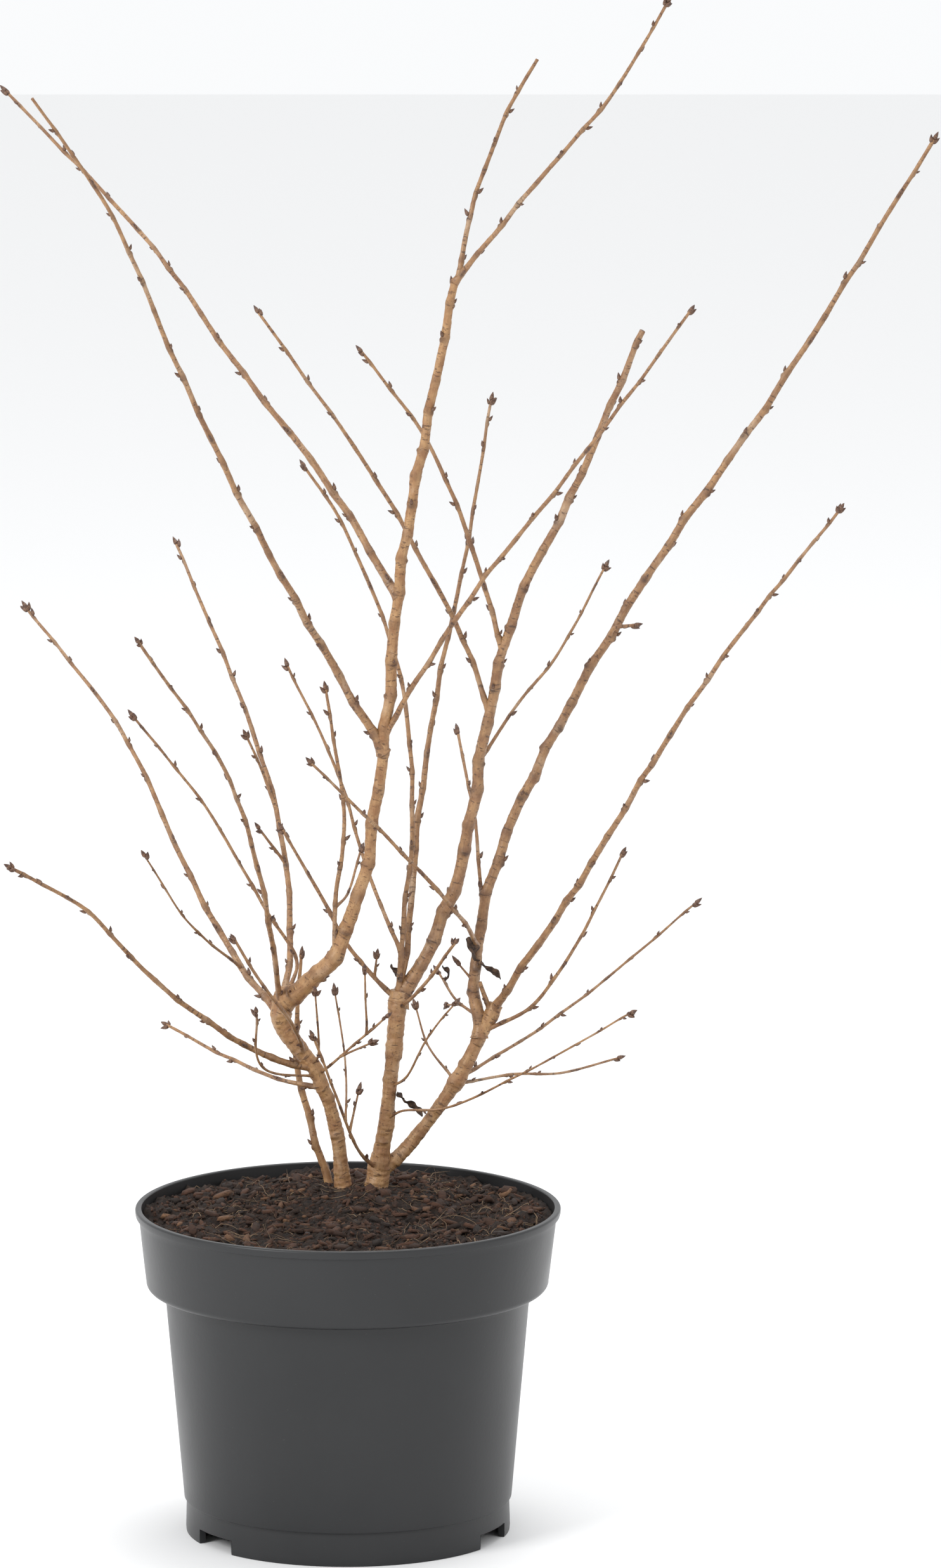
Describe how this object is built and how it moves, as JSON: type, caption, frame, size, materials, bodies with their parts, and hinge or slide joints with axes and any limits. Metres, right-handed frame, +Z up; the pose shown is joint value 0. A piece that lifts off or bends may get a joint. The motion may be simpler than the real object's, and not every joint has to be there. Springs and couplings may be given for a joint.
{
  "type": "potted bare flowering cherry shrub",
  "caption": "Leafless multi-stemmed flowering cherry shrub with slender budded shoots, standing in a round dark grey nursery pot filled with bark and peat soil.",
  "frame": {"origin": "middle of the pot's flat underside, on the surface it stands on", "axes": "+Z up along the pot's axis, +X to the right in the picture, +Y away from the viewer"},
  "size_m": [0.4192, 0.2942, 0.6954],
  "materials": {
    "pot_plastic": "satin moulded dark grey plastic",
    "soil": "moist peat with bark chips, rough",
    "bark": "tan cherry bark with brown lenticels, dull sheen",
    "twigs": "thin brown twig bark with dark pointed buds"
  },
  "bodies": {
    "root": {"back_left_bough": "bark", "back_left_twigs": "twigs", "base_twigs": "twigs", "behind_centre_twigs": "twigs", "centre_bough": "bark", "centre_left_twigs": "twigs", "centre_side_twigs": "twigs", "centre_spur_twigs": "twigs", "centre_stem": "bark", "centre_twigs": "twigs", "crossing_twigs": "twigs", "dead_spike_twigs": "twigs", "dead_twigs": "twigs", "diagonal_twigs": "twigs", "forward_left_twigs": "twigs", "front_knot_twigs": "twigs", "front_left_bough": "bark", "front_left_twigs": "twigs", "front_low_right_twigs": "twigs", "front_right_bough": "bark", "front_right_twigs": "twigs", "inner_left_twigs": "twigs", "knot_spur_twigs": "twigs", "knot_twigs": "twigs", "leader": "bark", "leader_top_twigs": "twigs", "left_stem": "bark", "long_centre_twigs": "twigs", "low_inner_left_twigs": "twigs", "low_left_bough": "bark", "low_left_twigs": "twigs", "low_right_twigs": "twigs", "lowest_right_twigs": "twigs", "mid_left_bough": "bark", "mid_left_twigs": "twigs", "pale_stem": "bark", "pot": "pot_plastic", "rear_left_bough": "bark", "rear_left_twigs": "twigs", "rear_low_left_twigs": "twigs", "rear_right_twigs": "twigs", "right_bough": "bark", "right_centre_bough": "bark", "right_centre_twigs": "twigs", "right_stem": "bark", "right_twigs": "twigs", "short_left_twigs": "twigs", "short_right_twigs": "twigs", "small_left_twigs": "twigs", "soil": "soil", "stub_twigs": "twigs", "thin_left_twigs": "twigs", "thorn_twigs": "twigs", "upper_centre_twigs": "twigs"}
  },
  "joints": []
}
